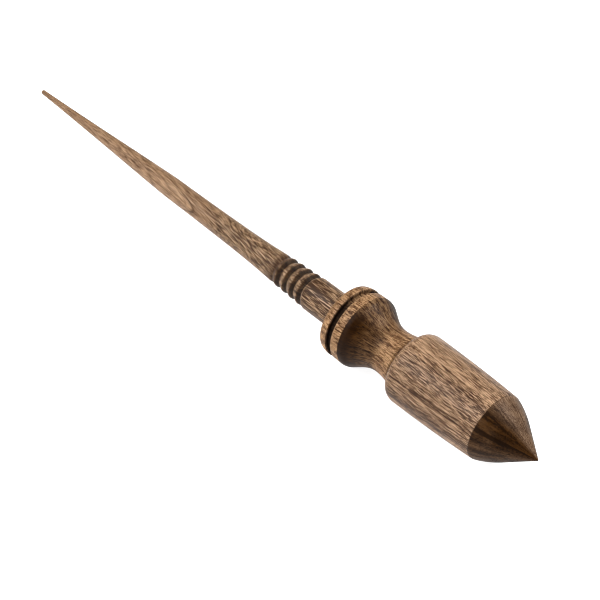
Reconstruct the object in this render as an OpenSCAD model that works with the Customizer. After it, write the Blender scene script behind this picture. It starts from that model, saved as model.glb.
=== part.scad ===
// Drop spindle: a pointed, turned walnut spindle, lying on its side.
// The axis runs along X with the foot's point towards +X, and z = 0 is the surface that it lies on.
// Outlines are [radius, distance from the foot's point along the axis], in millimetres.

/* [Overall] */
// Length from the foot's point to the shaft's tip
spindle_len = 300; // [280:5:340]
// Diameter of the collar, the widest place
collar_d = 30; // [29.5:0.5:34]

/* [Foot] */
// Length of the cone
foot_len = 20.6; // [18:0.1:24]
// Diameter of the cone at its base
foot_d = 26.9; // [24:0.1:28]
// Diameter of the blunted point
point_d = 0.8; // [0.4:0.1:1.6]

/* [Barrel] */
// Length of the barrel
barrel_len = 41.4; // [38:0.1:50]
// Diameter of the barrel beside its rounded shoulder
barrel_d = 29.4; // [28:0.1:29.5]
// Length of the rounded shoulder along the axis
shoulder_len = 3.6; // [2:0.1:6]
// How far the shoulder comes in
shoulder_drop = 2.2; // [1:0.1:2.6]

/* [Whorl head] */
// Length from the barrel to the collar's flat face
head_len = 33.9; // [30:0.1:40]
// Diameter where the neck meets the barrel
neck_base_d = 23; // [20:0.1:23]
// Diameter of the neck at its narrowest
neck_d = 18.9; // [17:0.1:20]
// Width of the collar's band beside the bell
bell_band_w = 4.2; // [3.5:0.1:5]
// Width of the collar's end band
end_band_w = 3.8; // [3:0.1:5]
// Width of the yarn groove between the bands
groove_w = 2.5; // [1.5:0.1:3]
// Depth of the yarn groove
groove_depth = 1.8; // [1:0.1:2.5]

/* [Shaft] */
// Diameter of the plain round seat above the collar
seat_d = 14.4; // [13:0.1:15]
// Length of the seat
seat_len = 18.8; // [15:0.1:24]
// Number of beads
bead_count = 4; // [2:1:6]
// Distance from one bead to the next
bead_pitch = 4.3; // [3.5:0.1:5]
// Depth of the grooves between the beads
bead_depth = 0.9; // [0.5:0.1:1.2]
// Diameter where the long taper starts
taper_d = 12.4; // [11.5:0.1:12.8]
// Diameter at the end of the taper's quick first part
waist_d = 10.3; // [9:0.1:11]
// Diameter of the slight swelling halfway up
swell_d = 9.3; // [8:0.1:9.6]
// Diameter at the tip
tip_d = 2.1; // [1.6:0.1:3]

/* [Joints] */
// Diameter of the shaft's push-fit tenon
shaft_tenon_d = 9; // [8:0.1:10]
// Length of the shaft's tenon
shaft_tenon_len = 32; // [20:1:32]
// Radial clearance of the push fit
push_gap = 0.04; // [0.02:0.01:0.08]
// Diameter of the head's glued tenon
head_tenon_d = 13; // [11:0.1:15]
// Length of the head's glued tenon
head_tenon_len = 14; // [10:1:15]
// Diameter of the foot's glued spigot
spigot_d = 12; // [10:0.1:14]
// Length of the foot's glued spigot
spigot_len = 14; // [8:1:15]
// Radial film of glue round a glued tenon
glue_gap = 0.05; // [0.03:0.01:0.1]
// Space left past the end of each tenon
end_gap = 0.5; // [0.3:0.1:1]

/* [Hidden] */

$fn = 96;
walnut = "#7a5a45";
dark_walnut = "#5a3f2c";

// Places along the axis, from the foot's point
barrel_from = foot_len;
head_from = foot_len + barrel_len;
face_at = head_from + head_len;
end_band_from = face_at - end_band_w;
groove_from = end_band_from - groove_w;
bell_band_from = groove_from - bell_band_w;
seat_end = face_at + seat_len;
beads_end = seat_end + (bead_count + 0.8) * bead_pitch;
taper_len = spindle_len - beads_end;
waist_at = beads_end + 0.15 * taper_len;
swell_at = beads_end + 0.41 * taper_len;
tenon_bevel = 0.6;
edge_drop = 0.2;

// A cubic curve from p to s that leaves towards q and arrives from r
function bezier(p, q, r, s, steps = 12) = [for (i = [0:steps]) let (t = i / steps, u = 1 - t)
    u * u * u * p + 3 * u * u * t * q + 3 * u * t * t * r + t * t * t * s];

// A quarter of an ellipse about c, from its widest place to its end
function quarter(c, half_r, half_len, steps = 12) = [for (i = [0:steps]) let (a = 90 * i / steps)
    c + [half_r * cos(a), half_len * sin(a)]];

// The point, a straight cone that bows out slightly, and the edge that meets the barrel
function foot_outline() = let (
        r = foot_d / 2,
        tip = point_d / 2,
        straight = [0.607 * r, 0.52 * foot_len],
        edge = [r - edge_drop, 0.96 * foot_len])
    concat(
        [[0, 0], [0.6 * tip, 0.12 * tip], [tip, 0.7 * tip]],
        bezier(straight, [0.78 * r, 0.667 * foot_len], [0.92 * r, 0.838 * foot_len], edge),
        bezier(edge, [r - 0.09, 0.972 * foot_len], [r, 0.985 * foot_len], [r, foot_len], 4),
        [[0, foot_len]]);

// A slightly bowed body that widens towards its rounded shoulder
function barrel_outline() = let (
        r = barrel_d / 2,
        foot_r = foot_d / 2,
        body = barrel_len - shoulder_len,
        shoulder_at = head_from - shoulder_len)
    concat(
        [[0, barrel_from]],
        bezier([foot_r, barrel_from], [foot_r + 0.52 * (r - foot_r), barrel_from + 0.25 * body],
            [r - 0.1, barrel_from + 0.62 * body], [r, shoulder_at]),
        quarter([r - shoulder_drop, shoulder_at], shoulder_drop, shoulder_len),
        [[0, head_from]]);

// Neck and bell, then the two bands of the collar with the yarn groove between them
function head_outline() = let (
        r = collar_d / 2,
        neck_r = neck_d / 2,
        neck_at = head_from + 0.42 * (bell_band_from - head_from),
        bell_len = bell_band_from - neck_at,
        flare_len = neck_at - head_from,
        bell_end = [r - 0.55, bell_band_from - 1.9])
    concat(
        [[0, head_from]],
        bezier([neck_base_d / 2, head_from], [neck_r + 0.95, head_from + 0.25 * flare_len],
            [neck_r, head_from + 0.62 * flare_len], [neck_r, neck_at]),
        bezier([neck_r, neck_at], [neck_r, neck_at + 0.34 * bell_len],
            bell_end - [2.6, 4.2], bell_end),
        bezier(bell_end, bell_end + [0.3, 0.46], [r - 0.08, bell_band_from - 0.5], [r, bell_band_from], 5),
        [[r - 0.08, groove_from - 0.15], [r - 0.25, groove_from]],
        [[r - groove_depth, groove_from], [r - groove_depth, end_band_from]],
        [[r - 0.2, end_band_from], [r, end_band_from + 0.2]],
        bezier([r, end_band_from + 0.5], [r - 0.05, end_band_from + 1.5],
            [r - 0.3, face_at - 1.3], [r - 0.5, face_at - 0.7], 6),
        bezier([r - 0.5, face_at - 0.7], [r - 0.6, face_at - 0.25], [r - 0.9, face_at], [r - 1.3, face_at], 5),
        [[0, face_at]]);

// Height of bead i's crest above the axis; the crests follow the taper
function crest_r(i) = seat_d / 2 - 0.15 - 0.16 * i;

// The wave of grooves and beads: a groove is at each whole pitch, and a crest halfway between
function bead_wave(steps = 12) = [for (i = [0:bead_count - 1], k = [0:steps - 1])
    let (t = k / steps, crest = crest_r(i), dip = bead_depth * pow(0.5 + 0.5 * cos(360 * t), 0.8))
    [crest - dip, seat_end + (i + 0.25 + t) * bead_pitch]];

// The plain seat, the beads, and the long taper with its slight swelling
function shaft_outline() = let (
        seat_r = seat_d / 2,
        last_groove = [crest_r(bead_count - 1) - bead_depth, seat_end + (bead_count + 0.25) * bead_pitch - 0.55],
        start = [taper_d / 2, beads_end],
        waist = [waist_d / 2, waist_at],
        swell = [swell_d / 2, swell_at],
        tip = [tip_d / 2, spindle_len - tip_d / 2])
    concat(
        [[0, face_at]],
        [[seat_r, face_at], [seat_r, seat_end - 0.6], [seat_r - 0.08, seat_end - 0.2], [seat_r - 0.25, seat_end + 0.1]],
        bead_wave(),
        [last_groove + [0, 0.4]],
        bezier(last_groove + [0.15, 1], last_groove + [0.45, 1.4], start + [0, -0.6], start, 5),
        bezier(start, start + [-0.57, 7.7], waist + [0.17, -9], waist),
        bezier(waist, waist + [-0.27, 15], swell + [0.03, -15], swell),
        bezier(swell, swell + [-0.43, 17.4], tip + [1, -37], tip, 16),
        quarter([0, tip[1]], tip_d / 2, tip_d / 2, 5));

// Turns an outline about the axis and lays it along X at its height above the surface
module lay() {
    translate([spindle_len / 2, 0, collar_d / 2]) rotate([0, -90, 0]) children();
}

// A round tenon with a bevelled end, from one place on the axis to another
module tenon(d, from, to) {
    rotate_extrude() polygon([
        [0, from], [d / 2 - tenon_bevel, from], [d / 2, from + tenon_bevel],
        [d / 2, to - tenon_bevel], [d / 2 - tenon_bevel, to], [0, to]]);
}

// The hole that a tenon goes into
module socket(d, gap, from, to) {
    translate([0, 0, from]) cylinder(h = to - from, d = d + 2 * gap);
}

module foot_point() {
    color(dark_walnut) lay() {
        rotate_extrude() polygon(foot_outline());
        tenon(spigot_d, foot_len - tenon_bevel, foot_len + spigot_len);
    }
}

module barrel() {
    color(walnut) lay() difference() {
        rotate_extrude() polygon(barrel_outline());
        socket(spigot_d, glue_gap, barrel_from - 1, barrel_from + spigot_len + end_gap);
        socket(head_tenon_d, glue_gap, head_from - head_tenon_len - end_gap, head_from + 1);
    }
}

module whorl_head() {
    color(walnut) lay() difference() {
        union() {
            rotate_extrude() polygon(head_outline());
            tenon(head_tenon_d, head_from - head_tenon_len, head_from + tenon_bevel);
        }
        socket(shaft_tenon_d, push_gap, face_at - shaft_tenon_len - end_gap, face_at + 1);
    }
}

module shaft() {
    color(walnut) lay() {
        rotate_extrude() polygon(shaft_outline());
        tenon(shaft_tenon_d, face_at - shaft_tenon_len, face_at + tenon_bevel);
    }
}

foot_point();
barrel();
whorl_head();
shaft();
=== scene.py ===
"""A turned walnut drop spindle, lying on a pale floor in soft studio light."""

import math
from types import SimpleNamespace

import bpy
import numpy as np
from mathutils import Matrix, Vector


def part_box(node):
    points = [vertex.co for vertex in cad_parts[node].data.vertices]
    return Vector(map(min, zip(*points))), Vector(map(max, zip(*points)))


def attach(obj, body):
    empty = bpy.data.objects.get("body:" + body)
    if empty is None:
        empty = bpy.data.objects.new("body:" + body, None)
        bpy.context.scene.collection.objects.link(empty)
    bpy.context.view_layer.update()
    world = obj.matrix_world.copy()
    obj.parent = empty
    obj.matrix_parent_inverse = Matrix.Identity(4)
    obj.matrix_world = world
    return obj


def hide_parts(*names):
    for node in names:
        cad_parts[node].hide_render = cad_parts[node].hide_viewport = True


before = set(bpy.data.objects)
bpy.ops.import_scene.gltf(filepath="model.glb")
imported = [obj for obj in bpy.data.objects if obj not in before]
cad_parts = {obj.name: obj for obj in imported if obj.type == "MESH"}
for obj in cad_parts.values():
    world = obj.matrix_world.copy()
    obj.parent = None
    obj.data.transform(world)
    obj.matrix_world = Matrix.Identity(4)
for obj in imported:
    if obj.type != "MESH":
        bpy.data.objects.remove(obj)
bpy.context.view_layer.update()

MM = 0.001

# Corners of the CAD's pieces, in metres
foot_lo, foot_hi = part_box("foot_point")
barrel_lo, barrel_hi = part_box("barrel")
head_lo, head_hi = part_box("whorl_head")
shaft_lo, shaft_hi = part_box("shaft")
POINT_X = foot_hi.x
AXIS_Z = (head_lo.z + head_hi.z) / 2

# Places along the axis, in millimetres from the foot's point
BARREL_FROM = (POINT_X - barrel_hi.x) / MM
HEAD_FROM = (POINT_X - barrel_lo.x) / MM
FACE_AT = (POINT_X - head_lo.x) / MM
LENGTH = (POINT_X - shaft_lo.x) / MM
SPIGOT_END = (POINT_X - foot_lo.x) / MM
HEAD_TENON_FROM = (POINT_X - head_hi.x) / MM
SHAFT_TENON_FROM = (POINT_X - shaft_hi.x) / MM

# Radii at the pieces' widest places, in millimetres
COLLAR_R = (head_hi.z - head_lo.z) / 2 / MM
BARREL_R = (barrel_hi.z - barrel_lo.z) / 2 / MM
FOOT_R = (foot_hi.z - foot_lo.z) / 2 / MM
SEAT_R = (shaft_hi.z - shaft_lo.z) / 2 / MM

# Other dimensions of the turning, in millimetres
END_GAP = 0.5
SPIGOT_R, HEAD_TENON_R, SHAFT_TENON_R = 6.0, 6.5, 4.5
GLUE_GAP, PUSH_GAP = 0.05, 0.04
TENON_BEVEL = 0.6
POINT_R = 0.4
SHOULDER_LEN, SHOULDER_DROP = 3.6, 2.2
NECK_BASE_R, NECK_R = 11.5, 9.45
BELL_BAND_W, END_BAND_W, GROOVE_W, GROOVE_DEPTH = 4.2, 3.8, 2.5, 1.8
SEAT_LEN, BEAD_COUNT, BEAD_PITCH, BEAD_DEPTH = 18.8, 4, 4.3, 0.9
TAPER_R, WAIST_R, SWELL_R, TIP_R = 6.2, 5.15, 4.65, 1.05

BAND_TO = FACE_AT - END_BAND_W
GROOVE_FROM = BAND_TO - GROOVE_W
BELL_BAND_FROM = GROOVE_FROM - BELL_BAND_W
NECK_AT = HEAD_FROM + 0.42 * (BELL_BAND_FROM - HEAD_FROM)
SEAT_END = FACE_AT + SEAT_LEN
BEADS_END = SEAT_END + (BEAD_COUNT + 0.8) * BEAD_PITCH


# ---------------------------------------------------------------- outlines
# An outline's points are (radius, place along the axis), from the foot's side of the piece to the tip's side


def bezier(p, q, r, s, steps=24):
    """Points of a cubic curve from p to s that leaves towards q and arrives from r."""
    p, q, r, s = map(np.array, (p, q, r, s))
    t = np.linspace(0, 1, steps + 1)[:, None]
    return list((1 - t) ** 3 * p + 3 * (1 - t) ** 2 * t * q + 3 * (1 - t) * t**2 * r + t**3 * s)


def quarter(centre, half_r, half_len, steps=20):
    """A quarter of an ellipse about centre, from its widest place to its end."""
    a = np.linspace(0, math.pi / 2, steps + 1)
    return list(np.stack([centre[0] + half_r * np.cos(a), centre[1] + half_len * np.sin(a)], 1))


def tenon(r, end, root):
    """From the axis at a tenon's bevelled end, out and along its side to its root."""
    inward = math.copysign(TENON_BEVEL, root - end)
    return [(0, end), (r - TENON_BEVEL, end), (r, end + inward), (r, root)]


def socket(r, floor, mouth):
    """From the axis at a hole's floor, out and along its side to its mouth."""
    return [(0, floor), (r, floor), (r, mouth)]


def foot_outline():
    """The blunted point, a cone that bows out slightly, its edge, and the spigot."""
    r, n = FOOT_R, BARREL_FROM
    edge = (r - 0.2, 0.96 * n)
    return (
        [(0, 0), (0.6 * POINT_R, 0.12 * POINT_R), (POINT_R, 0.7 * POINT_R)]
        + bezier((0.607 * r, 0.52 * n), (0.78 * r, 0.667 * n), (0.92 * r, 0.838 * n), edge)
        + bezier(edge, (r - 0.09, 0.972 * n), (r, 0.985 * n), (r, n), 6)
        + tenon(SPIGOT_R, SPIGOT_END, n)[::-1]
    )


def barrel_outline():
    """A slightly bowed body that widens towards its rounded shoulder, with a socket in each end."""
    shoulder_at = HEAD_FROM - SHOULDER_LEN
    body = shoulder_at - BARREL_FROM
    return (
        socket(SPIGOT_R + GLUE_GAP, SPIGOT_END + END_GAP, BARREL_FROM)
        + bezier((FOOT_R, BARREL_FROM),
                 (FOOT_R + 0.52 * (BARREL_R - FOOT_R), BARREL_FROM + 0.25 * body),
                 (BARREL_R - 0.1, BARREL_FROM + 0.62 * body),
                 (BARREL_R, shoulder_at), 40)
        + quarter((BARREL_R - SHOULDER_DROP, shoulder_at), SHOULDER_DROP, SHOULDER_LEN)
        + socket(HEAD_TENON_R + GLUE_GAP, HEAD_TENON_FROM - END_GAP, HEAD_FROM)[::-1]
    )


def head_outline():
    """The tenon, the neck and the bell, two bands with the yarn groove between them, and the bore."""
    r = COLLAR_R
    bell_len, flare_len = BELL_BAND_FROM - NECK_AT, NECK_AT - HEAD_FROM
    bell_end = (r - 0.55, BELL_BAND_FROM - 1.9)
    turn_in = (r - 0.5, FACE_AT - 0.7)
    return (
        tenon(HEAD_TENON_R, HEAD_TENON_FROM, HEAD_FROM)
        + bezier((NECK_BASE_R, HEAD_FROM), (NECK_R + 0.95, HEAD_FROM + 0.25 * flare_len),
                 (NECK_R, HEAD_FROM + 0.62 * flare_len), (NECK_R, NECK_AT))
        + bezier((NECK_R, NECK_AT), (NECK_R, NECK_AT + 0.34 * bell_len),
                 (bell_end[0] - 2.6, bell_end[1] - 4.2), bell_end, 30)
        + bezier(bell_end, (bell_end[0] + 0.3, bell_end[1] + 0.46),
                 (r - 0.08, BELL_BAND_FROM - 0.5), (r, BELL_BAND_FROM), 10)
        + [(r - 0.08, GROOVE_FROM - 0.15), (r - 0.25, GROOVE_FROM),
           (r - GROOVE_DEPTH, GROOVE_FROM), (r - GROOVE_DEPTH, BAND_TO),
           (r - 0.2, BAND_TO), (r, BAND_TO + 0.2)]
        + bezier((r, BAND_TO + 0.5), (r - 0.05, BAND_TO + 1.5), (r - 0.3, FACE_AT - 1.3), turn_in, 10)
        + bezier(turn_in, (r - 0.6, FACE_AT - 0.25), (r - 0.9, FACE_AT), (r - 1.3, FACE_AT), 8)
        + socket(SHAFT_TENON_R + PUSH_GAP, SHAFT_TENON_FROM - END_GAP, FACE_AT)[::-1]
    )


def crest_r(i):
    """Height of bead i's crest above the axis; the crests follow the taper."""
    return SEAT_R - 0.15 - 0.16 * i


def bead_wave(steps=24):
    """Grooves and beads: a groove is at each whole pitch, and a crest halfway between."""
    wave = []
    for i in range(BEAD_COUNT):
        for t in np.arange(steps) / steps:
            dip = BEAD_DEPTH * (0.5 + 0.5 * math.cos(2 * math.pi * t)) ** 0.8
            wave.append((crest_r(i) - dip, SEAT_END + (i + 0.25 + t) * BEAD_PITCH))
    return wave


def long_taper():
    """From the beads, quickly in to the waist, out over a slight swelling, and on to the rounded tip."""
    taper_len = LENGTH - BEADS_END
    waist, swell = BEADS_END + 0.15 * taper_len, BEADS_END + 0.41 * taper_len
    tip_at = LENGTH - TIP_R
    return (
        bezier((TAPER_R, BEADS_END), (TAPER_R - 0.57, BEADS_END + 7.7),
               (WAIST_R + 0.17, waist - 9), (WAIST_R, waist), 40)
        + bezier((WAIST_R, waist), (WAIST_R - 0.27, waist + 15),
                 (SWELL_R + 0.03, swell - 15), (SWELL_R, swell), 60)
        + bezier((SWELL_R, swell), (SWELL_R - 0.43, swell + 17.4),
                 (TIP_R + 1, tip_at - 37), (TIP_R, tip_at), 120)
        + quarter((0, tip_at), TIP_R, TIP_R, 10)
    )


def shaft_outline():
    """The tenon, the plain seat, the beads and the long taper."""
    groove_r = crest_r(BEAD_COUNT - 1) - BEAD_DEPTH
    groove_at = SEAT_END + (BEAD_COUNT + 0.25) * BEAD_PITCH - 0.55
    return (
        tenon(SHAFT_TENON_R, SHAFT_TENON_FROM, FACE_AT)
        + [(SEAT_R, FACE_AT), (SEAT_R, SEAT_END - 0.6),
           (SEAT_R - 0.08, SEAT_END - 0.2), (SEAT_R - 0.25, SEAT_END + 0.1)]
        + bead_wave()
        + [(groove_r, groove_at + 0.4)]
        + bezier((groove_r + 0.15, groove_at + 1), (groove_r + 0.45, groove_at + 1.4),
                 (TAPER_R, BEADS_END - 0.6), (TAPER_R, BEADS_END), 8)
        + long_taper()
    )


def soften(points, radius=0.16, sharp=math.radians(20), steps=4):
    """Rounds every corner of an outline that turns more than sharp, within 0.45 of each side's length."""
    out = [points[0]]
    for before, here, after in zip(points, points[1:], points[2:]):
        before, here, after = map(np.array, (before, here, after))
        into, away = here - before, after - here
        len_in, len_out = np.linalg.norm(into), np.linalg.norm(away)
        if min(len_in, len_out) < 1e-6:
            continue
        into, away = into / len_in, away / len_out
        if math.acos(max(-1, min(1, float(into @ away)))) < sharp:
            out.append(here)
            continue
        cut_in, cut_out = min(radius, 0.45 * len_in), min(radius, 0.45 * len_out)
        a, b = here - cut_in * into, here + cut_out * away
        for t in np.linspace(0, 1, steps + 1):
            out.append((1 - t) ** 2 * a + 2 * (1 - t) * t * here + t**2 * b)
    return np.array(out + [points[-1]], float)


def resample(points, step=0.6):
    """Splits the outline's long stretches so that no side is longer than step."""
    out = [points[0]]
    for a, b in zip(points, points[1:]):
        n = max(1, math.ceil(np.linalg.norm(b - a) / step))
        out += [a + (b - a) * i / n for i in range(1, n + 1)]
    return np.array(out)


# ---------------------------------------------------------------- turned meshes
# How far along a point looks for the ground beside it and for an edge, in millimetres
GROOVE_REACH, BESIDE, EDGE_REACH = 2.6, 0.05, 0.35
# The depth in millimetres and the turn in radians that count as a whole groove and a whole edge
FULL_GROOVE, FULL_EDGE = 0.9, 1.2
# Leans past which a surface faces the tip, and past which it is flat; what a slope between them counts for
# in a groove, and what any slope that faces the tip counts for in end grain: both leave slopes that face the
# foot, away from the light, darker, which is painted shade
FACES_TIP, FLAT_TO_TIP, TIP_SLOPE_HOLLOW, TIP_SLOPE_CUT = -0.05, -0.95, 0.45, 0.5
# The lean at which end grain starts to show, how much more lean shows it fully, and the most there is
CUT_FROM, CUT_SPAN, MOST_END_GRAIN = 0.18, 0.45, 0.8


def turn_and_lean(outline):
    """How sharply the outline turns at each point, and which way it leans: 1 faces the foot, -1 the tip."""
    side = np.diff(outline, axis=0)
    heading = np.unwrap(np.arctan2(side[:, 0], side[:, 1]))
    count = len(outline)
    turn = np.zeros(count)
    turn[1:-1] = -np.diff(heading)
    lean = np.sin(np.interp(np.arange(count), np.arange(count - 1) + 0.5, heading))
    return turn, lean


def hollows_and_edges(outline, turn):
    """At each point, how far it lies below the ground on both its sides, and how sharp an edge is there."""
    r, a = outline[:, 0], outline[:, 1]
    hollow, edge = np.zeros(len(r)), np.zeros(len(r))
    for i in range(len(r)):
        left = (a < a[i] - BESIDE) & (a > a[i] - GROOVE_REACH)
        right = (a > a[i] + BESIDE) & (a < a[i] + GROOVE_REACH)
        if left.any() and right.any():
            hollow[i] = max(0, min(r[left].max(), r[right].max()) - r[i])
        edge[i] = turn[np.hypot(r - r[i], a - a[i]) < EDGE_REACH].sum()
    return hollow, edge


def surface_marks(outline, hidden, end_grain_and_shade):
    """For each point of an outline: how deep in a groove, how worn an edge, how bare, how much end grain.

    Surfaces that face the tip count for less end grain and less groove than those that face the foot, which
    face away from the light: painted shade. hidden holds where each joint's hidden stretch starts and ends,
    and its radius. The last argument holds places along the axis and the least darkening at each: end grain,
    and on the head also painted shade.
    """
    turn, lean = turn_and_lean(outline)
    hollow, edge = hollows_and_edges(outline, turn)
    to_tip = lean < FACES_TIP
    # Painted shade: groove darkening counts for less on slopes that face the tip, so slopes that face the
    # foot, away from the light, are darker
    hollow[to_tip & (lean > FLAT_TO_TIP)] *= TIP_SLOPE_HOLLOW
    bare = np.array([any(lo - 1e-3 < a < hi + 1e-3 and r < top for lo, hi, top in hidden)
                     for r, a in outline], float)
    least = np.interp(outline[:, 1], *zip(*end_grain_and_shade), left=0, right=0) * (1 - bare)
    # Painted shade: slopes that face the tip count for less end grain than slopes that face the foot, away
    # from the light
    crossed = np.where(to_tip, -TIP_SLOPE_CUT * lean, lean)
    cut = np.clip((crossed - CUT_FROM) / CUT_SPAN, 0, MOST_END_GRAIN)
    cut = np.clip(np.maximum(cut, least), 0, 1)
    edge[least > 0] = 0
    return np.stack([np.clip(hollow / FULL_GROOVE, 0, 1), np.clip(edge / FULL_EDGE, 0, 1), bare, cut], 1)


def turned_faces(rings, sides):
    """Faces that look outward: quads between neighbouring rings, and a fan about the hub at each end."""
    faces = []
    for ring in range(rings - 1):
        here, beyond = ring * sides, (ring + 1) * sides
        for k in range(sides):
            n = (k + 1) % sides
            faces.append((here + k, here + n, beyond + n, beyond + k))
    last, hub = (rings - 1) * sides, rings * sides
    faces += [(hub, (k + 1) % sides, k) for k in range(sides)]
    faces += [(hub + 1, last + k, last + (k + 1) % sides) for k in range(sides)]
    return faces


def lathe(name, outline, hidden, sides, end_grain_and_shade):
    """A closed mesh turned from an outline whose two ends lie on the axis."""
    points = resample(soften(outline))
    marks = surface_marks(points, hidden, end_grain_and_shade)
    around = np.linspace(0, 2 * math.pi, sides, endpoint=False)
    verts, values = [], []
    for (r, a), mark in zip(points[1:-1], marks[1:-1]):
        x, r = POINT_X - a * MM, r * MM
        verts += [(x, r * math.sin(t), AXIS_Z + r * math.cos(t)) for t in around]
        values += [mark] * sides
    for end in (0, -1):
        verts.append((POINT_X - points[end][1] * MM, 0, AXIS_Z))
        values.append(marks[end])
    mesh = bpy.data.meshes.new(name)
    mesh.from_pydata(verts, [], turned_faces(len(points) - 2, sides))
    mesh.validate()
    attribute = mesh.attributes.new("marks", "FLOAT_COLOR", "POINT")
    attribute.data.foreach_set("color", np.array(values, float).ravel())
    mesh.shade_smooth()
    piece = bpy.data.objects.new(name, mesh)
    bpy.context.scene.collection.objects.link(piece)
    return piece


# ---------------------------------------------------------------- walnut
# Each noise: cycles per unit of place along, across and out from the pith, then detail and roughness.
# Places are in millimetres; the fan's is a direction from the axis, and the wobble's has degrees across.
NOISES = {
    "bend": ((0.012, 0.05, 0.05), 1.0, 0.5),
    "ripple": ((0.07, 0.3, 0.3), 2.0, 0.5),
    "ring_width": ((0.0, 0.02, 0.16), 1.0, 0.5),
    "ring_strength": ((0.006, 0.1, 0.35), 1.0, 0.5),
    "line": ((0.05, 1.2, 1.2), 2.0, 0.55),
    "dash": ((0.2, 2.1, 2.1), 1.0, 0.5),
    "fine": ((0.9, 2.8, 2.8), 1.0, 0.5),
    "hair": ((0.3, 3.2, 3.2), 2.0, 0.6),
    "pore": ((0.16, 1.6, 1.6), 1.0, 0.4),
    "pore_crowd": ((0.03, 0.2, 0.2), 1.0, 0.5),
    "bands": ((0.008, 0.16, 0.22), 2.0, 0.5),
    "tone": ((0.03, 0.4, 0.4), 2.0, 0.5),
    "fan": ((0.05, 9.0, 9.0), 3.0, 0.65),
    "wobble": ((0.09, 0.05, 0.0), 2.0, 0.5),
    "oil": ((0.12, 0.35, 0.35), 2.0, 0.5),
    "rub": ((0.5, 0.9, 0.9), 3.0, 0.5),
    "gloss": ((0.1, 0.6, 0.6), 3.0, 0.5),
    "gouge": ((2.6, 0.0, 0.0), 3.0, 0.7),
}


def rgb(r, g, b):
    return (r, g, b, 1.0)


# The oiled sides of the grain from dark to light, the end grain, and the unoiled wood in the joints
DARK = rgb(0.045, 0.021, 0.0105)
DEEP = rgb(0.135, 0.068, 0.037)
MID = rgb(0.30, 0.172, 0.105)
LIGHT = rgb(0.52, 0.325, 0.2)
END = rgb(0.036, 0.0135, 0.0024)
BARE = rgb(0.42, 0.29, 0.185)
# Dirt and painted shade in the grooves
DIRT_AND_SHADE = rgb(0.006, 0.0025, 0.001)
SHADES = ((0.0, DARK), (0.28, DEEP), (0.55, MID), (0.9, LIGHT))

# What the side's colour is multiplied by where it is cooler, and the end grain's by its own pattern
COOLER = rgb(0.84, 0.86, 0.92)
MOTTLE = np.array((0.3, 0.35, 0.4))
RAY_DARK, RAY_PALE = rgb(0.7, 0.66, 0.6), rgb(1.3, 1.35, 1.4)
END_BAND_PALE = rgb(1.5, 1.5, 1.6)
END_RING_DARK = rgb(0.3, 0.25, 0.2)
END_SHADE_DARK = rgb(0.2, 0.17, 0.12)
# Painted shade: the end grain just under the bell's rim is darker still, as in the rim's shadow
END_UNDER_RIM_SHADE = rgb(0.42, 0.35, 0.25)

# What a piece's walnut is like, where its own section doesn't say otherwise
PLAIN_WALNUT = {
    # How it was cut: which way the pith lies round the axis and how far the grain dives and slants, in
    # degrees; where in the plank it came from, in millimetres; and from where to where the grain drifts
    # sideways, and how far
    "turn": 0.0, "tilt": 0.0, "skew": 0.0, "shift": (0, 0, 0), "swerve": (0, 1, 0),
    # How far the grain follows a flared surface: the radius it is drawn in to, and the share of the way
    "follow": (0, 0.0),
    # Growth rings: their waviness, width and distance from the pith, where in a ring the late wood
    # starts, and how dark it is
    "wave": 1.0, "ring": 3.2, "pith": 60.0, "late_from": 0.4, "late_dark": 0.12,
    # Dashes: how much the lines, dashes and fibres count; how short and how fine they are; how strong
    # they are; from where to where they fade, and what share of them is left; how the pores crowd
    "weights": (0.18, 0.48, 0.34), "along": 1.0, "across": 1.0, "contrast": 1.0, "calm": (0, 1, 1.0),
    "pores": 0.0,
    # Figure: how dark the slow bands and the fan of rays are, then the streaks and arches, whose values
    # are those of streak() and arch()
    "slow_dark": 0.05, "fan_dark": 0.0, "streaks": (), "arches": (),
    # Colour
    "bright": 1.0, "tint": (1, 1, 1),
    # End grain, oil, dirt, painted light and shade, and wear: how mottled the end grain is, streaks of
    # painted light that take away end grain and groove darkening, how much the dashes show through the dirt
    # and painted shade in the grooves, and how pale the worn edges are
    "mottle": 1.0, "spared": (), "dirt_grain": 0.0, "wear": 0.2,
    # Surface: the sheen, and the depth of the relief in millimetres
    "specular": 0.2, "relief_depth": 0.12,
}


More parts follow.
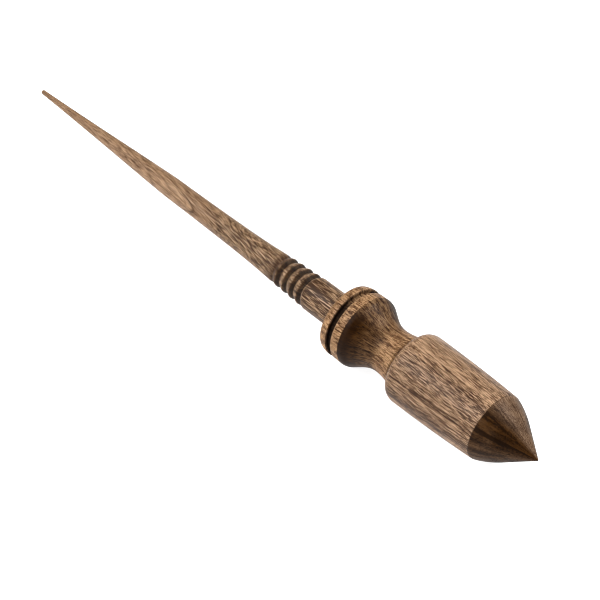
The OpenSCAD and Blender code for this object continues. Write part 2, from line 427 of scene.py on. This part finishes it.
class Graph:
    """Short names for adding and joining a material's nodes."""

    def __init__(self, name):
        self.material = bpy.data.materials.new(name)
        self.material.use_nodes = True
        self.tree = self.material.node_tree
        self.shader = self.tree.nodes["Principled BSDF"]

    def put(self, socket, value):
        """Joins another node's output to a socket, or sets the socket to a plain value."""
        if isinstance(value, bpy.types.NodeSocket):
            self.tree.links.new(value, socket)
        else:
            socket.default_value = value

    def node(self, kind, *values, **settings):
        made = self.tree.nodes.new("ShaderNode" + kind)
        for key, setting in settings.items():
            setattr(made, key, setting)
        for socket, value in zip(made.inputs, values):
            self.put(socket, value)
        return made

    def math(self, operation, *values, clamp=False):
        return self.node("Math", *values, operation=operation, use_clamp=clamp).outputs[0]

    def vector(self, operation, *values):
        made = self.node("VectorMath", *values, operation=operation)
        return made.outputs["Value" if operation == "LENGTH" else "Vector"]

    def join(self, x, y=0.0, z=0.0):
        return self.node("CombineXYZ", x, y, z).outputs[0]

    def noise(self, kind, place, along=1.0, across=1.0, output="Fac"):
        """One of the NOISES at a place; along and across make it shorter and finer."""
        (x, y, z), detail, roughness = NOISES[kind]
        made = self.node("TexNoise", self.vector("MULTIPLY", place, (x * along, y * across, z * across)))
        made.inputs["Scale"].default_value = 1.0
        made.inputs["Detail"].default_value = detail
        made.inputs["Roughness"].default_value = roughness
        return made.outputs[output]

    def step(self, value, low, high, to_low=0.0, to_high=1.0):
        """A smooth step from to_low, where value is low, to to_high, where value is high."""
        made = self.node("MapRange", value, low, high, to_low, to_high, interpolation_type="SMOOTHSTEP")
        return made.outputs["Result"]

    def mix(self, share, a, b, blend="MIX"):
        made = self.node("Mix", data_type="RGBA", blend_type=blend)
        for socket, value in zip((made.inputs[0], made.inputs[6], made.inputs[7]), (share, a, b)):
            self.put(socket, value)
        return made.outputs[2]

    def multiplied(self, a, b):
        return self.mix(1.0, a, b, "MULTIPLY")


def from_axis(g, place):
    """The part of a place that is square to the spindle's axis."""
    return g.vector("MULTIPLY", g.vector("SUBTRACT", place, (0.0, 0.0, AXIS_Z)), (0.0, 1.0, 1.0))


def unrolled(g, place):
    """Distance from the foot's point in millimetres, and wobbling angle in degrees from straight up."""
    parts = g.node("SeparateXYZ", place)
    a = g.math("MULTIPLY", g.math("SUBTRACT", POINT_X, parts.outputs[0]), 1 / MM)
    up = g.math("SUBTRACT", parts.outputs[2], AXIS_Z)
    angle = g.math("MULTIPLY", g.math("ARCTAN2", parts.outputs[1], up), 180 / math.pi)
    wobble = g.math("MULTIPLY_ADD", g.noise("wobble", g.join(a, angle)), 8.0, -4.0)
    return a, g.math("ADD", angle, wobble)


def streak(g, a, angle, start, end, degrees, half_width, strength, slant=0.0, soft=3.0):
    """A mask that is strength in a band along the grain, from start to end, and fades at its edges.

    The band's middle is at degrees halfway along, and moves slant degrees for each millimetre.
    """
    middle = g.math("MULTIPLY_ADD", a, slant, degrees - slant * (start + end) / 2)
    off = g.math("ABSOLUTE", g.math("SUBTRACT", angle, middle))
    mask = g.step(off, 0.3 * half_width, half_width, strength, 0.0)
    mask = g.math("MULTIPLY", mask, g.step(a, start, start + soft))
    return g.math("MULTIPLY", mask, g.step(a, end - soft, end, 1.0, 0.0))


def arch(g, a, angle, start, end, degrees, spread, width, strength, soft=12.0):
    """A mask that is strength on a line of the figure, which arches over degrees at start and then opens.

    The arch is spread degrees to each side when it is 1 mm towards the tip, and fades out before end.
    """
    off_top = g.math("ABSOLUTE", g.math("SUBTRACT", angle, degrees))
    rise = g.math("POWER", g.math("MULTIPLY", off_top, 1 / spread), 2.0)
    off = g.math("ABSOLUTE", g.math("SUBTRACT", g.math("SUBTRACT", a, start), rise))
    mask = g.step(off, 0.2 * width, width, strength, 0.0)
    return g.math("MULTIPLY", mask, g.step(a, end - soft, end, 1.0, 0.0))


def drawn_in(g, place, a, radius, share):
    """The place, moved share of the way to radius from the axis, so that the grain follows a flared surface.

    The collar's flat face keeps its own grain.
    """
    flat = from_axis(g, place)
    ring = g.vector("MULTIPLY", g.vector("NORMALIZE", flat), (0.0, radius * MM, radius * MM))
    off_face = g.math("ABSOLUTE", g.math("SUBTRACT", a, FACE_AT))
    amount = g.step(off_face, 0.2, 1.4, 0.0, share)
    move = g.vector("MULTIPLY", g.vector("SUBTRACT", ring, flat), g.join(amount, amount, amount))
    return g.vector("ADD", place, move)


def in_the_plank(g, place, a, wood):
    """Where a place lay in the plank, in millimetres, with x along the grain and the pith below."""
    centred = g.vector("SUBTRACT", place, (0.0, 0.0, AXIS_Z))
    turned = g.node("Mapping", centred, vector_type="POINT")
    turned.inputs["Rotation"].default_value = (math.radians(wood.turn), 0.0, 0.0)
    turned.inputs["Scale"].default_value = (1 / MM, 1 / MM, 1 / MM)
    leaned = g.node("Mapping", turned.outputs[0], vector_type="POINT")
    leaned.inputs["Rotation"].default_value = (0.0, math.radians(wood.tilt), math.radians(wood.skew))
    leaned.inputs["Location"].default_value = wood.shift
    swerve_from, swerve_to, swerve = wood.swerve
    return g.vector("ADD", leaned.outputs[0], g.join(0.0, g.step(a, swerve_from, swerve_to, 0.0, swerve)))


def waved(g, plank, size):
    """The plank's slow bends and quick ripples, added to the straight grain."""
    out = plank
    for kind, reach in (("bend", 4.0 * size), ("ripple", 0.15 * size)):
        swing = g.vector("SUBTRACT", g.noise(kind, plank, output="Color"), (0.5, 0.5, 0.5))
        out = g.vector("ADD", out, g.vector("MULTIPLY", swing, (0.0, reach, reach)))
    return out


# How far through a growth ring its late wood is darkest
LATE_PEAK = 0.93


def late_wood(g, wavy, wood):
    """Growth rings about the pith: slow darkening, then a sharp dark line, stronger in some places."""
    to_pith = g.vector("MULTIPLY", g.vector("ADD", wavy, (0.0, 0.0, wood.pith)), (0.0, 1.0, 1.0))
    uneven = g.math("MULTIPLY", g.noise("ring_width", wavy), 3.0)
    count = g.math("ADD", g.math("DIVIDE", g.vector("LENGTH", to_pith), wood.ring), uneven)
    phase = g.math("FRACT", count)
    rising = g.step(phase, wood.late_from, LATE_PEAK)
    late = g.math("MULTIPLY", rising, g.step(phase, LATE_PEAK, 1.0, 1.0, 0.0))
    return g.math("MULTIPLY", late, g.step(g.noise("ring_strength", wavy), 0.35, 0.65, 0.3, 1.0))


def read_grain(g, wood):
    """The wood's place and patterns at each point, before any of them is a colour."""
    place = g.node("TexCoord").outputs["Object"]
    a, angle = unrolled(g, place)
    follows = wood.follow[1] > 0
    plank = in_the_plank(g, drawn_in(g, place, a, *wood.follow) if follows else place, a, wood)
    wavy = waved(g, plank, wood.wave)
    direction = g.vector("NORMALIZE", from_axis(g, place))
    return SimpleNamespace(
        a=a, angle=angle, plank=plank, wavy=wavy,
        late=late_wood(g, wavy, wood),
        dash=g.noise("dash", wavy, wood.along, wood.across),
        hair=g.noise("hair", plank),
        bands=g.step(g.noise("bands", wavy), 0.36, 0.64),
        fan=g.noise("fan", g.vector("ADD", direction, g.join(a))),
        strength=g.step(a, *wood.calm[:2], wood.contrast, wood.contrast * wood.calm[2]),
    )


def open_pores(g, wood, grain):
    """A mask of short open pores, which crowd in some places and in the late wood."""
    field = g.noise("pore", grain.wavy, wood.along, wood.across)
    crowd = g.step(g.noise("pore_crowd", grain.wavy), 0.35, 0.7, 0.06, -0.02)
    need = g.math("SUBTRACT", crowd, g.math("MULTIPLY", grain.late, 0.03))
    return g.step(g.math("SUBTRACT", field, need), 0.62 - wood.pores, 0.67 - wood.pores)


def dashes(g, wood, grain, pore):
    """Three sizes of dash drawn out along the grain, and the pores, added up to one shade of brown."""
    line = g.noise("line", grain.wavy, wood.along, wood.across)
    fine = g.noise("fine", grain.plank, wood.along, wood.across)
    line_weight, dash_weight, fine_weight = wood.weights
    shade = g.step(line, 0.37, 0.61, 0.0, line_weight)
    shade = g.math("ADD", shade, g.step(grain.dash, 0.39, 0.59, 0.0, dash_weight))
    shade = g.math("ADD", shade, g.step(fine, 0.38, 0.6, 0.0, fine_weight))
    shade = g.math("MULTIPLY_ADD", g.math("SUBTRACT", shade, 0.5), grain.strength, 0.5)
    return g.math("SUBTRACT", shade, g.math("MULTIPLY", pore, g.math("MULTIPLY", grain.strength, 0.35)))


def figure(g, wood, grain, shade):
    """The shade with the wood's larger pattern: slow bands, late wood, rays, streaks and arches."""
    slow = g.math("MULTIPLY_ADD", grain.bands, wood.slow_dark, -0.02 - wood.slow_dark / 2)
    shade = g.math("ADD", shade, slow)
    shade = g.math("SUBTRACT", shade, g.math("MULTIPLY", grain.late, wood.late_dark))
    shade = g.math("SUBTRACT", shade, g.step(grain.fan, 0.4, 0.6, wood.fan_dark, -wood.fan_dark))
    for values in wood.streaks:
        shade = g.math("SUBTRACT", shade, streak(g, grain.a, grain.angle, *values))
    for values in wood.arches:
        shade = g.math("SUBTRACT", shade, arch(g, grain.a, grain.angle, *values))
    return shade


def side_colour(g, wood, grain, shade):
    """The oiled walnut's brown where the turning runs along the grain."""
    ramp = g.node("ValToRGB", shade)
    ramp.color_ramp.interpolation = "LINEAR"
    stops = ramp.color_ramp.elements
    for stop, (at, shown) in zip(stops, (SHADES[0], SHADES[-1])):
        stop.position, stop.color = at, shown
    for at, shown in SHADES[1:-1]:
        stops.new(at).color = shown
    colour = ramp.outputs["Color"]
    cooler = g.math("MULTIPLY", g.step(g.noise("tone", grain.wavy), 0.35, 0.66), 0.3)
    colour = g.mix(cooler, colour, g.multiplied(colour, COOLER))
    colour = g.mix(g.step(grain.hair, 0.36, 0.56, 0.4, 0.0), colour, DARK)
    return g.multiplied(colour, rgb(*(1.05 * wood.bright * part for part in wood.tint)))


def end_colour(g, wood, grain, shade, cut):
    """The end grain's dark brown, broken up by dashes, rays, bands, growth rings and the figure, and darker
    still under the bell's rim, which is painted shade.
    """
    swing = wood.mottle * MOTTLE
    tone = g.mix(g.step(grain.dash, 0.35, 0.65), rgb(*(1 - swing)), rgb(*(1 + swing)))
    tone = g.multiplied(tone, g.mix(g.step(grain.fan, 0.38, 0.62), RAY_DARK, RAY_PALE))
    tone = g.mix(g.math("MULTIPLY", grain.bands, 0.4), tone, END_BAND_PALE)
    tone = g.mix(g.math("MULTIPLY", grain.late, 0.7), tone, END_RING_DARK)
    tone = g.mix(g.step(shade, 0.1, 0.5, 0.8, 0.0), tone, END_SHADE_DARK)
    # Painted shade under the bell's rim, where the end grain is at its fullest
    tone = g.mix(g.step(cut, MOST_END_GRAIN, 1.0, 0.0, 0.75), tone, END_UNDER_RIM_SHADE)
    return g.multiplied(END, tone)


def read_marks(g):
    """What surface_marks() left on the mesh: groove, edge, bare and cut, which is end grain with painted
    shade added on slopes that face the foot, at the neck's root and under the bell's rim.
    """
    attribute = g.node("Attribute", attribute_name="marks")
    parts = g.node("SeparateColor", attribute.outputs["Color"])
    groove, edge, bare = parts.outputs[:3]
    return SimpleNamespace(groove=groove, edge=edge, bare=bare, cut=attribute.outputs["Alpha"])


def full_colour(g, wood, grain, shade, marks):
    """The side's colour, darker end grain with painted shade in it, dirt and painted shade in the grooves,
    less of these under streaks of painted light, rubbed edges, bare wood in the joints.
    """
    # Painted light: streaks along the grain take away some of the end grain's darkening and of the dirt and
    # painted shade in the grooves
    left_after_painted_light = 1.0
    for values in wood.spared:
        left_after_painted_light = g.math("SUBTRACT", left_after_painted_light, streak(g, grain.a, grain.angle, *values))
    uneven = g.math("MULTIPLY", g.math("SUBTRACT", g.noise("oil", grain.plank), 0.5), 0.2)
    # End grain, with painted shade on slopes that face the foot, at the neck's root and under the bell's rim
    share_of_end_and_painted_shade = g.math("MULTIPLY", g.step(g.math("ADD", marks.cut, uneven), 0.12, 0.85), left_after_painted_light)
    colour = g.mix(share_of_end_and_painted_shade, side_colour(g, wood, grain, shade), end_colour(g, wood, grain, shade, marks.cut))
    # Dirt and painted shade: the deeper in a groove, the darker
    dirt_and_shade = g.math("MULTIPLY", g.step(marks.groove, 0.2, 1.0, 0.0, 0.95), left_after_painted_light)
    dirt_and_shade = g.math("MULTIPLY", dirt_and_shade, g.step(grain.dash, 0.4, 0.6, 1.0, 1.0 - wood.dirt_grain))
    colour = g.mix(dirt_and_shade, colour, DIRT_AND_SHADE)
    rubbed = g.math("MULTIPLY", marks.edge, g.step(g.noise("rub", grain.plank), 0.38, 0.62))
    colour = g.mix(g.math("MULTIPLY", rubbed, wood.wear), colour, LIGHT)
    return g.mix(g.math("MULTIPLY", marks.bare, 0.7), colour, BARE)


def satin(g, wood, grain, pore, marks):
    """Satin oil; pores, grooves and bare wood are duller."""
    rough = g.step(g.noise("gloss", grain.plank), 0.3, 0.7, 0.38, 0.52)
    rough = g.math("ADD", rough, g.math("MULTIPLY", pore, 0.2))
    unpolished = g.math("MAXIMUM", marks.groove, marks.bare)
    rough = g.math("ADD", rough, g.math("MULTIPLY", unpolished, 0.25), clamp=True)
    g.put(g.shader.inputs["Roughness"], rough)
    g.shader.inputs["IOR"].default_value = 1.5
    g.shader.inputs["Specular IOR Level"].default_value = wood.specular


def relief(g, wood, grain, pore):
    """Open pores, raised fibres, and the fine rings that the gouge leaves."""
    height = g.math("MULTIPLY", pore, -1.0)
    height = g.math("ADD", height, g.math("MULTIPLY", grain.dash, 0.5))
    height = g.math("ADD", height, g.math("MULTIPLY", grain.hair, 0.25))
    height = g.math("ADD", height, g.math("MULTIPLY", g.noise("gouge", grain.plank), 0.35))
    bump = g.node("Bump")
    bump.inputs["Strength"].default_value = 0.55
    bump.inputs["Distance"].default_value = wood.relief_depth * MM
    g.put(bump.inputs["Height"], height)
    g.put(g.shader.inputs["Normal"], bump.outputs[0])


def walnut(name, **changes):
    """Oiled walnut, solid through; changes are what differs from PLAIN_WALNUT."""
    wood = SimpleNamespace(**{**PLAIN_WALNUT, **changes})
    g = Graph(name)
    grain = read_grain(g, wood)
    marks = read_marks(g)
    pore = open_pores(g, wood, grain)
    shade = figure(g, wood, grain, dashes(g, wood, grain, pore))
    g.put(g.shader.inputs["Base Color"], full_colour(g, wood, grain, shade, marks))
    satin(g, wood, grain, pore, marks)
    relief(g, wood, grain, pore)
    return g.material


# ---------------------------------------------------------------- the pieces
# Streaks: from, to, degrees from the top, half width, strength (below 0 is lighter), slant, softness of ends
# Arches: from, to, degrees from the top, spread, width of the line, strength

# The degrees and half width of a streak that goes right round the piece
ALL_ROUND = (0, 400)


def make_piece(node, body, outline, material, sides, hidden, end_grain_and_shade=((0, 0),)):
    """One turned piece, which stands for a CAD node and rides on a body."""
    piece = lathe(node + "_wood", outline, hidden, sides, end_grain_and_shade)
    piece.data.materials.append(material)
    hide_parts(node)
    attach(piece, body)


def make_foot():
    """The cone, which is cut across the grain and dark, with a few darker lines, two of them partly painted
    shade, and painted light on its sides towards the sheen and fill lights.
    """
    wood = walnut(
        "walnut_foot", turn=35, shift=(40, 3, 0), ring=5.0, contrast=0.35, fan_dark=0.12,
        bright=1.06, tint=(0.93, 1.0, 1.0), specular=0.06, relief_depth=0.06, mottle=0.6, wear=0.0,
        # The streaks at -55 and -29 degrees, which meet at the point, are partly the wood's figure and
        # partly painted shade, a core shadow between the lights
        streaks=[(1, 30, -55, 6.5, 0.65), (6, 30, -29, 6, 0.35, -0.3), (8, 30, -93, 5, 0.3)],
        # Painted light: the cone is lighter on its side towards the sheen light, on its side towards the
        # fill light, and at its edge on the sheen's side
        spared=[(-5, 30, 22, 48, 0.5), (-5, 30, -95, 26, 0.12), (18.6, 30, 22, 44, 0.2, 0, 1.4)])
    make_piece("foot_point", "whorl", foot_outline(), wood, sides=160,
               hidden=[(BARREL_FROM, SPIGOT_END, SPIGOT_R + 0.3)],
               end_grain_and_shade=[(8, 0.75), (BARREL_FROM + 0.1, 0.75)])


def make_barrel():
    """The weight, which shows straight grain and a few long dark lines."""
    wood = walnut(
        "walnut_barrel", turn=-20, tilt=0.5, skew=0.7, ring=2.6,
        weights=(0.22, 0.46, 0.32), along=0.8, across=1.6, contrast=1.35,
        bright=0.88, tint=(0.99, 1.0, 0.94), specular=0.15, wear=0.08,
        streaks=[(22, 61, -67, 1.6, 0.55), (28, 50, -63, 1.3, 0.45), (37, 46, -51, 1.5, 0.5),
                 (54, 59, -51, 1.5, 0.4), (26, 30, -49, 2.2, 0.5), (22, 26, -46, 2.4, 0.45),
                 # The wide bands that run the barrel's length are partly the wood's tone and partly painted
                 # light and shade: darker on the -Y side, high and low, and lighter on the top
                 (20, 62, -95, 14, 0.36), (22, 62, -6, 5, -0.15), (20, 62, -31, 20, 0.17, 0, 6),
                 (10, 62, -76, 22, 0.06), (10, 62, 12, 26, -0.09)])
    make_piece("barrel", "whorl", barrel_outline(), wood, sides=192,
               hidden=[(BARREL_FROM, HEAD_FROM, HEAD_TENON_R + 0.5)],
               end_grain_and_shade=[(BARREL_FROM - 0.1, 0.6), (BARREL_FROM + 0.15, 0.45), (BARREL_FROM + 0.5, 0)])


def make_head():
    """Neck, bell and collar, whose grain follows the flare; the bell's hollow is dark end grain with painted
    shade under the rim, and painted light lies on the side towards the sheen light.
    """
    wood = walnut(
        "walnut_head", turn=-30, tilt=0.6, shift=(90, 20, 5), follow=(12, 0.75), wave=0.5, ring=3.6,
        along=1.5, pores=0.01, fan_dark=0.04, bright=0.9, tint=(1.02, 0.97, 0.78), specular=0.07,
        mottle=0.5,
        streaks=[(55, 72, -50, 16, -0.12), (55, 72, -12, 24, 0.02), (82, 89.6, -36, 24, 0.09, 0, 1),
                 (62, 76, -37, 13, 0.1)],
        # Painted light: the neck, bell and bands are lighter on the side towards the sheen light, and the
        # yarn groove on its lit side
        spared=[(55, 120, 12, 46, 0.45), (GROOVE_FROM - 1, BAND_TO + 1, 22, 36, 0.22, 0, 0.8)])
    make_piece("whorl_head", "whorl", head_outline(), wood, sides=192,
               hidden=[(HEAD_TENON_FROM, HEAD_FROM, HEAD_TENON_R + 0.3),
                       (HEAD_FROM, FACE_AT, SHAFT_TENON_R + 0.5)],
               # Painted shade: the dark line at the neck's root, where it meets the barrel, is a contact
               # shadow and dirt in the joint; the bell darkens towards its rim, which is end grain and
               # painted shade under the rim
               end_grain_and_shade=[(HEAD_FROM, 0.7), (HEAD_FROM + 2.0, 0.5), (HEAD_FROM + 2.6, 0),
                          (NECK_AT - 3, 0), (NECK_AT - 0.4, 0.4), (NECK_AT + 1.4, 0.6),
                          (BELL_BAND_FROM - 5, 0.72), (BELL_BAND_FROM - 2.8, 1.0), (BELL_BAND_FROM, 1.0)])


def make_shaft():
    """Seat, beads and taper: strong dashes near the collar, then calmer wood with arching figure."""
    seat = [(90, 117, -21, 12, 0.42), (90, 117, 25, 22, -0.1), (90, 117, -99, 13, 0.2),
            (90, 117, -42, 14, 0.1), (90, 117, *ALL_ROUND, 0.08), (90, 138, *ALL_ROUND, 0.17),
            (90, 172, *ALL_ROUND, 0.27, 0, 9)]
    beads = [(113, 132, -38, 8, -0.25), (113, 132, -12, 13, 0.25), (113, 132, -59, 5, 0.35),
             (113, 132, -26, 4, 0.3), (113, 132, -76, 5, 0.3), (113, 132, -94, 8, 0.3),
             (116, 131, *ALL_ROUND, -0.07, 0, 1), (130.2, 135, *ALL_ROUND, 0.5, 0, 1)]
    taper = [(134, 174, 10, 26, 0.14, 0, 6), (134, 174, -88, 28, 0.13, 0, 6),
             (176, 216, -44, 30, -0.08, 0, 9), (176, 225, *ALL_ROUND, -0.05, 0, 9),
             (222, 275, *ALL_ROUND, -0.04, 0, 14)]
    wood = walnut(
        "walnut_shaft", turn=-36, tilt=-1.2, skew=1.0, shift=(160, 7, 3), swerve=(125, 195, -8),
        follow=(5.5, 0.75), wave=0.3, ring=1.1, late_from=0.8, late_dark=0.1,
        weights=(0.2, 0.6, 0.2), across=1.8, contrast=2.7, pores=0.03, calm=(162, 178, 0.28),
        bright=0.915, tint=(0.98, 1.0, 0.92), specular=0.14, wear=0.1, dirt_grain=0.08,
        streaks=seat + beads + taper,
        arches=[(166, 205, -64, 15, 2.2, 0.22), (171, 210, -66, 14.5, 1.2, 0.15),
                (184, 236, -67, 13.7, 1.6, 0.34), (189, 240, -66, 13.5, 1.0, 0.18),
                (199, 262, -62, 13, 1.2, 0.15), (214, 280, -60, 12, 1.5, 0.12),
                (232, 300, -55, 12, 1.8, 0.12)],
        # Less end grain and less of the grooves' dirt and painted shade just past the beads
        spared=[(131.2, 136, *ALL_ROUND, 0.85)])
    make_piece("shaft", "shaft", shaft_outline(), wood, sides=128,
               hidden=[(SHAFT_TENON_FROM, FACE_AT, SHAFT_TENON_R + 0.3)])


# ---------------------------------------------------------------- floor, light and camera
FLOOR_HALF = 4.0

# Square lights: where each stands and how wide it is, in metres, and its power in watts
LIGHTS = {
    "key": ((-0.62, -0.75, 1.1), 0.9, 24.5),
    "sheen": ((0.45, 0.65, 0.9), 0.6, 13.5),
    "fill": ((0.1, -1.2, 0.4), 0.8, 3.2),
}
LIT_PLACE = Vector((0.03, 0, AXIS_Z))

# Where the camera looks, and where it stands from there: round from -Y towards +X, up, and how far off
LOOK_AT = Vector((0.0345, -0.0065, AXIS_Z))
CAMERA_ROUND, CAMERA_UP, CAMERA_OFF = math.radians(47.9), math.radians(42.98), 0.543
SENSOR_WIDTH, LENS = 36.0, 84.0


def make_floor():
    """A pale floor that glows a little, so that it stays white round the spindle."""
    mesh = bpy.data.meshes.new("floor")
    s = FLOOR_HALF
    mesh.from_pydata([(-s, -s, 0), (s, -s, 0), (s, s, 0), (-s, s, 0)], [], [(0, 1, 2, 3)])
    floor = bpy.data.objects.new("floor", mesh)
    bpy.context.scene.collection.objects.link(floor)
    g = Graph("pale_floor")
    g.shader.inputs["Base Color"].default_value = rgb(0.44, 0.44, 0.44)
    g.shader.inputs["Emission Color"].default_value = rgb(1, 1, 1)
    g.shader.inputs["Emission Strength"].default_value = 0.92
    g.shader.inputs["Roughness"].default_value = 0.9
    g.shader.inputs["Specular IOR Level"].default_value = 0.1
    mesh.materials.append(g.material)


def softbox(name, place, size, power):
    """A square area light that looks at the spindle."""
    light = bpy.data.lights.new(name, "AREA")
    light.size = size
    light.energy = power
    box = bpy.data.objects.new(name, light)
    box.location = place
    box.rotation_euler = (LIT_PLACE - Vector(place)).to_track_quat("-Z", "Y").to_euler()
    bpy.context.scene.collection.objects.link(box)


def make_camera():
    """The camera stands off the spindle's foot, above it, and looks along its back towards the tip."""
    level = math.cos(CAMERA_UP)
    back = Vector((math.sin(CAMERA_ROUND) * level, -math.cos(CAMERA_ROUND) * level, math.sin(CAMERA_UP)))
    data = bpy.data.cameras.new("camera")
    data.sensor_width = SENSOR_WIDTH
    data.lens = LENS
    data.clip_start = 0.01
    camera = bpy.data.objects.new("camera", data)
    camera.location = LOOK_AT + CAMERA_OFF * back
    camera.rotation_mode = "QUATERNION"
    camera.rotation_quaternion = (-back).to_track_quat("-Z", "Y")
    bpy.context.scene.collection.objects.link(camera)
    bpy.context.scene.camera = camera


def make_world():
    """A dim studio, which shows white behind the floor and lights the wood only faintly."""
    world = bpy.data.worlds.new("studio")
    world.use_nodes = True
    tree = world.node_tree
    dim, shown = tree.nodes["Background"], tree.nodes.new("ShaderNodeBackground")
    for background, strength in ((dim, 0.06), (shown, 1.0)):
        background.inputs["Color"].default_value = rgb(1, 1, 1)
        background.inputs["Strength"].default_value = strength
    rays = tree.nodes.new("ShaderNodeLightPath")
    blend = tree.nodes.new("ShaderNodeMixShader")
    tree.links.new(rays.outputs["Is Camera Ray"], blend.inputs[0])
    tree.links.new(dim.outputs[0], blend.inputs[1])
    tree.links.new(shown.outputs[0], blend.inputs[2])
    tree.links.new(blend.outputs[0], tree.nodes["World Output"].inputs[0])
    bpy.context.scene.world = world


make_foot()
make_barrel()
make_head()
make_shaft()
make_floor()
make_world()
for light_name, values in LIGHTS.items():
    softbox(light_name, *values)
bpy.context.scene.view_settings.view_transform = "Standard"
bpy.context.scene.cycles.filter_width = 1.1
make_camera()
